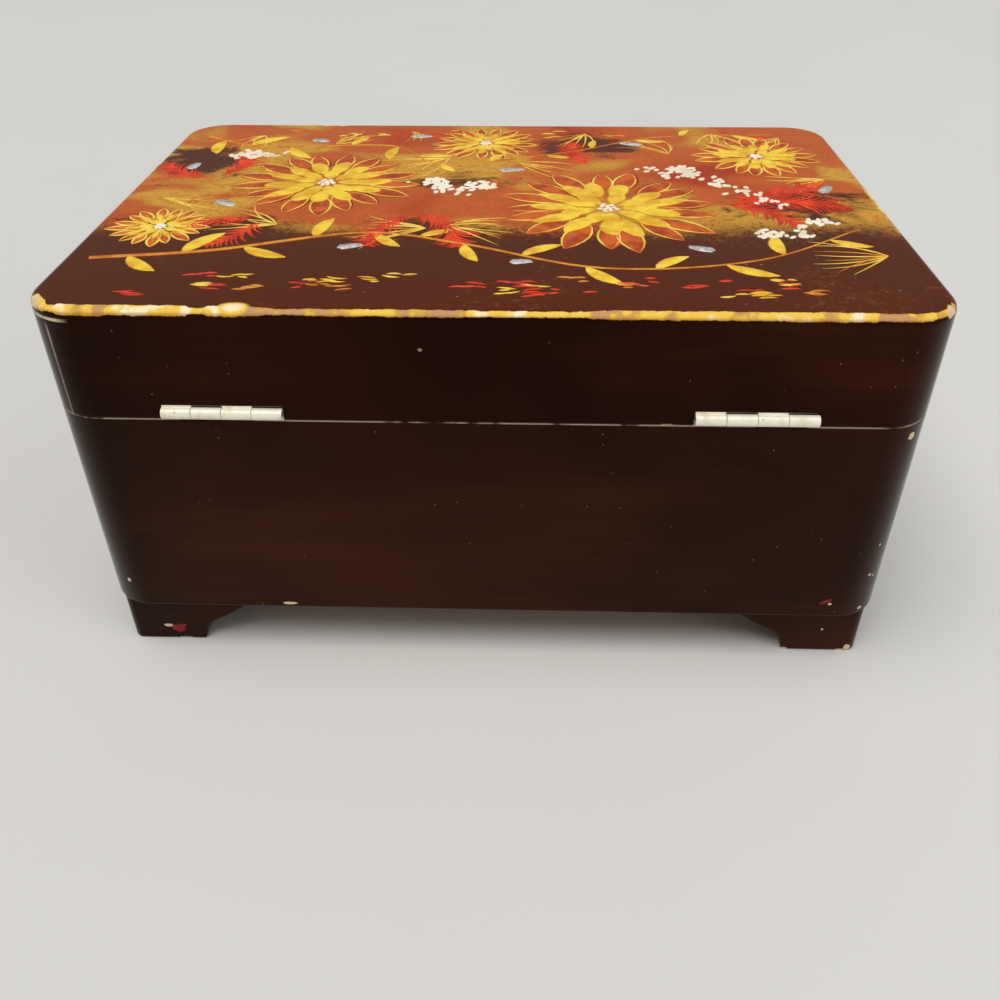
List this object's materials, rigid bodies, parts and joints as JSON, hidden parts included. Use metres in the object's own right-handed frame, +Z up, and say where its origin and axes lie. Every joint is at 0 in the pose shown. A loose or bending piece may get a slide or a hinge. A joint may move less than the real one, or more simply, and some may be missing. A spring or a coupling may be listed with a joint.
{
  "type": "musical jewellery box",
  "caption": "Lacquered musical jewellery box on bracket feet, with a hinged mirror lid, velvet tray, front drawer and a wound comb-and-cylinder movement.",
  "frame": {"origin": "on the floor, under the middle of the case", "axes": "+X to the right seen from the front, +Y to the back where the hinges are, +Z up"},
  "size_m": [0.236, 0.1705, 0.116],
  "materials": {
    "lacquer": "high-gloss dark maroon lacquer on wood, worn through at the edges",
    "bare_wood": "plain sanded wood",
    "velvet": "short-pile velvet",
    "nickel": "worn nickel plate",
    "steel": "bright steel",
    "brass": "polished brass",
    "zinc": "cast, as moulded",
    "mirror": "silvered glass",
    "clear": "clear acrylic"
  },
  "bodies": {
    "case": {"body_front": "lacquer", "body_back": "lacquer", "body_left": "lacquer", "body_right": "lacquer", "bottom_panel": "bare_wood", "deck": "bare_wood", "chamber_wall": "bare_wood", "drawer_runners": "bare_wood", "drawer_stop": "bare_wood", "foot_front_left": "lacquer", "foot_front_right": "lacquer", "foot_back_left": "lacquer", "foot_back_right": "lacquer", "hinge_body_leaves": "nickel", "hinge_pins": "steel", "tray_floor": "velvet", "tray_lining": "velvet", "tray_dividers": "velvet", "ring_rolls": "velvet", "movement_window": "clear", "rod_guide": "bare_wood", "stay_body_pivot": "brass", "bedplate": "zinc", "cylinder_brackets": "zinc", "train_bracket": "zinc", "governor_cock": "zinc", "comb": "steel", "movement_screws": "nickel"},
    "lid": {"lid_top": "lacquer", "lid_front": "lacquer", "lid_back": "lacquer", "lid_left": "lacquer", "lid_right": "lacquer", "mirror_frame": "velvet", "mirror_glass": "mirror", "lid_lining": "velvet", "stop_presser": "bare_wood", "hinge_lid_leaves": "nickel", "stay_lid_pivot": "brass"},
    "drawer": {"drawer_front": "lacquer", "drawer_left": "bare_wood", "drawer_right": "bare_wood", "drawer_back": "bare_wood", "drawer_bottom": "bare_wood", "drawer_pad": "velvet", "pull_rose": "brass"},
    "pull": {"pull_ring": "brass"},
    "stay_lower": {"stay_lower_link": "brass"},
    "stay_upper": {"stay_upper_link": "brass"},
    "rod": {"stop_rod": "nickel"},
    "key": {"winding_key": "brass", "winding_arbor": "steel"},
    "barrel": {"spring_barrel": "brass", "mainspring": "steel"},
    "cylinder": {"music_cylinder": "brass", "great_wheel": "brass"},
    "train": {"train_arbor": "steel"},
    "governor": {"governor": "steel"}
  },
  "joints": [
    {"name": "lid_hinge", "type": "hinge", "parent": "case", "child": "lid", "pos_m": [0, 0.0824, 0.0866], "axis": [-1, 0, 0], "range_deg": [0, 100]},
    {"name": "drawer_slide", "type": "slide", "parent": "case", "child": "drawer", "axis": [0, -1, 0], "range_m": [0, 0.077]},
    {"name": "pull_swing", "type": "hinge", "parent": "drawer", "child": "pull", "pos_m": [0, -0.0846, 0.0445], "axis": [-1, 0, 0], "range_deg": [0, 80]},
    {"name": "stay_lower_turn", "type": "hinge", "parent": "case", "child": "stay_lower", "pos_m": [0, 0.0404, 0.0786], "axis": [-1, 0, 0], "range_deg": [0, 121.2]},
    {"name": "stay_upper_turn", "type": "hinge", "parent": "lid", "child": "stay_upper", "pos_m": [0, 0.0404, 0.0946], "axis": [-1, 0, 0], "range_deg": [-121.2, 0]},
    {"name": "stop_rod_slide", "type": "slide", "parent": "case", "child": "rod", "axis": [0, 0, 1], "range_m": [0, 0.0031]},
    {"name": "key_turn", "type": "hinge", "parent": "case", "child": "key", "pos_m": [-0.073, 0.0465, 0.01], "axis": [0, 0, 1], "continuous": true},
    {"name": "cylinder_spin", "type": "hinge", "parent": "case", "child": "cylinder", "pos_m": [-0.055, 0.0465, 0.038], "axis": [1, 0, 0], "continuous": true},
    {"name": "barrel_spin", "type": "hinge", "parent": "case", "child": "barrel", "pos_m": [-0.073, 0.0465, 0.03], "axis": [0, 0, 1], "continuous": true},
    {"name": "train_spin", "type": "hinge", "parent": "case", "child": "train", "pos_m": [-0.055, 0.05718, 0.0315], "axis": [1, 0, 0], "continuous": true},
    {"name": "governor_spin", "type": "hinge", "parent": "case", "child": "governor", "pos_m": [-0.03, 0.06418, 0.0315], "axis": [0, 0, 1], "continuous": true}
  ],
  "couplings": [
    {"joint": "stay_lower_turn", "follows": "lid_hinge", "ratio": 1.2067},
    {"joint": "stay_upper_turn", "follows": "lid_hinge", "ratio": -1.2067},
    {"joint": "stop_rod_slide", "follows": "lid_hinge", "m_per_rad": 0.001719},
    {"joint": "barrel_spin", "follows": "cylinder_spin", "ratio": 0.4},
    {"joint": "train_spin", "follows": "cylinder_spin", "ratio": -4},
    {"joint": "governor_spin", "follows": "cylinder_spin", "ratio": 80}
  ]
}
